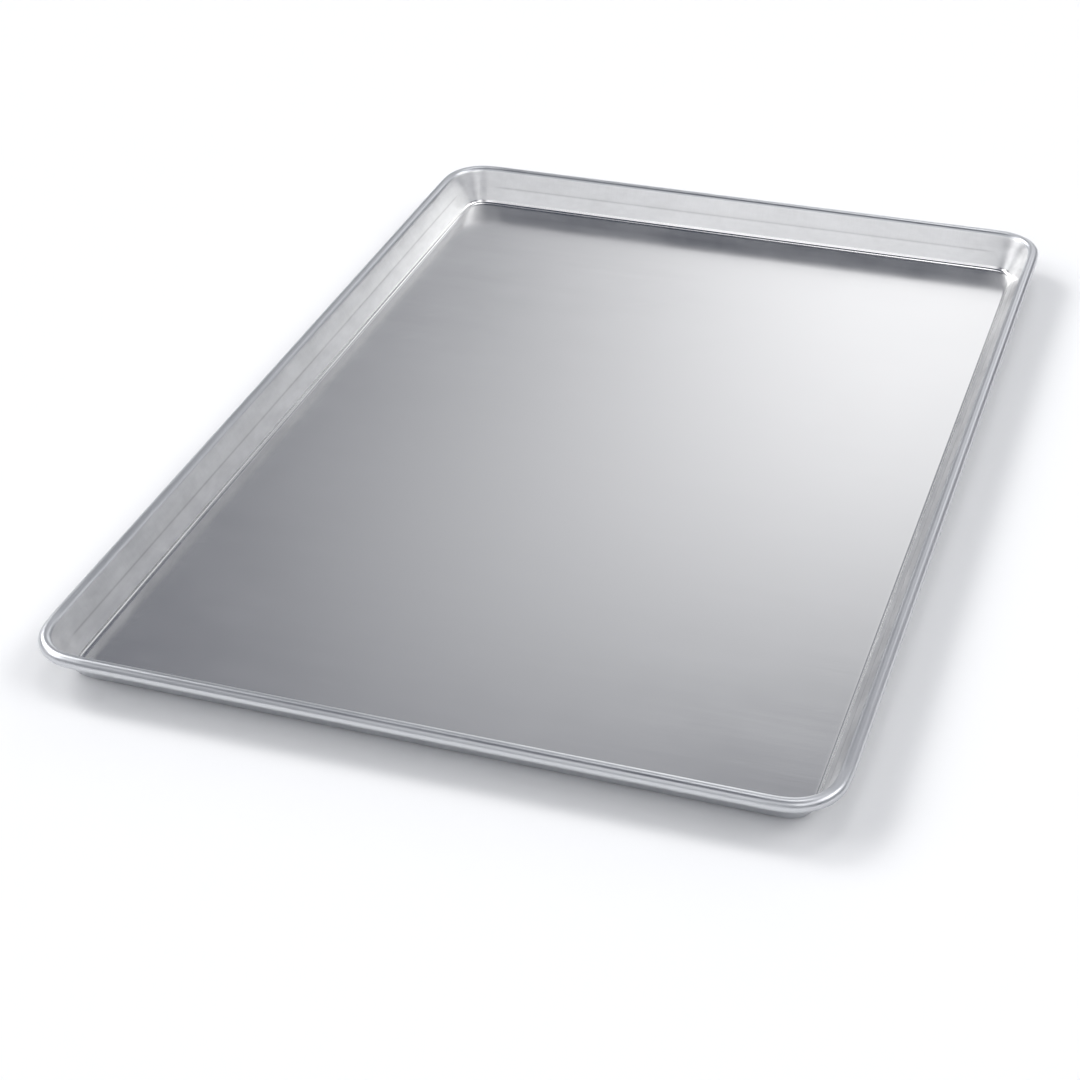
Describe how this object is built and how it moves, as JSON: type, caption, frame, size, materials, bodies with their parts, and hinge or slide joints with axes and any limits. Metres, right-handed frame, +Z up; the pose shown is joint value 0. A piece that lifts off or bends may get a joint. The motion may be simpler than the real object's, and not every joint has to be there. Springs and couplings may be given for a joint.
{
  "type": "jelly roll pan",
  "caption": "Full-size aluminium jelly roll pan with a flat base, shallow sloping walls, round corners and an edge rolled over a steel wire.",
  "frame": {"origin": "middle of the underside of the base", "axes": "+X across the short side, +Y along the long side, +Z up out of the pan"},
  "size_m": [0.454, 0.657, 0.0254],
  "materials": {
    "aluminium_sheet": "natural mill-rolled aluminium, satin, with faint rolling grain on the base and draw marks on the walls",
    "steel_wire": "drawn steel wire with a dull zinc coat"
  },
  "bodies": {
    "root": {"pan_shell": "aluminium_sheet", "rim_wire": "steel_wire"}
  },
  "joints": []
}
